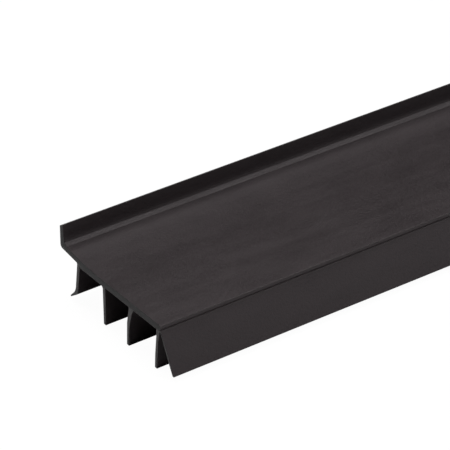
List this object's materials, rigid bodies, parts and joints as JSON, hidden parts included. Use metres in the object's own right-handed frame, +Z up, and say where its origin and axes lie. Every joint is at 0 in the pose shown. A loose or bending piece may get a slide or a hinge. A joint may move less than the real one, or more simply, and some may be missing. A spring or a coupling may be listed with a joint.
{
  "type": "door sweep",
  "caption": "Door bottom sweep: flat base plate with an upturned face lip, flexible fins hanging below it and a slanted drip flap along one edge.",
  "frame": {"origin": "middle of the door seat: halfway along the strip and halfway across the 44.45 mm seat, on the top face of the base plate", "axes": "+X along the strip, +Y across the door towards the face lip, +Z up into the door"},
  "size_m": [0.9144, 0.0522, 0.0214],
  "materials": {
    "rigid_vinyl": "satin extruded, dark brown",
    "soft_vinyl": "matte extruded, dark brown"
  },
  "bodies": {
    "carrier": {"base_plate": "rigid_vinyl"},
    "face_lip": {"face_lip": "rigid_vinyl"},
    "toe_fin": {"toe_fin": "soft_vinyl"},
    "straight_fin": {"straight_fin": "soft_vinyl"},
    "curved_fin": {"curved_fin": "soft_vinyl"},
    "edge_fin": {"edge_fin": "soft_vinyl"},
    "drip_flap": {"drip_flap": "soft_vinyl"}
  },
  "joints": [
    {"name": "lip_flex", "type": "hinge", "parent": "carrier", "child": "face_lip", "pos_m": [0, 0.01628, -0.00019], "axis": [1, 0, 0], "range_deg": [-7.5, 4], "stiffness_Nm_per_rad": 6},
    {"name": "toe_fin_bend", "type": "hinge", "parent": "carrier", "child": "toe_fin", "pos_m": [0, 0.01558, -0.00203], "axis": [1, 0, 0], "range_deg": [-20, 35], "stiffness_Nm_per_rad": 0.06},
    {"name": "straight_fin_bend", "type": "hinge", "parent": "carrier", "child": "straight_fin", "pos_m": [0, 0.00358, -0.00285], "axis": [1, 0, 0], "range_deg": [-22, 22], "stiffness_Nm_per_rad": 0.06},
    {"name": "curved_fin_bend", "type": "hinge", "parent": "carrier", "child": "curved_fin", "pos_m": [0, -0.00887, -0.0032], "axis": [1, 0, 0], "range_deg": [-22, 22], "stiffness_Nm_per_rad": 0.09},
    {"name": "edge_fin_bend", "type": "hinge", "parent": "carrier", "child": "edge_fin", "pos_m": [0, -0.02102, -0.003], "axis": [1, 0, 0], "range_deg": [-10, 22], "stiffness_Nm_per_rad": 0.07},
    {"name": "drip_flap_bend", "type": "hinge", "parent": "carrier", "child": "drip_flap", "pos_m": [0, -0.02233, -0.00285], "axis": [1, 0, 0], "range_deg": [-30, 10], "stiffness_Nm_per_rad": 0.07}
  ]
}
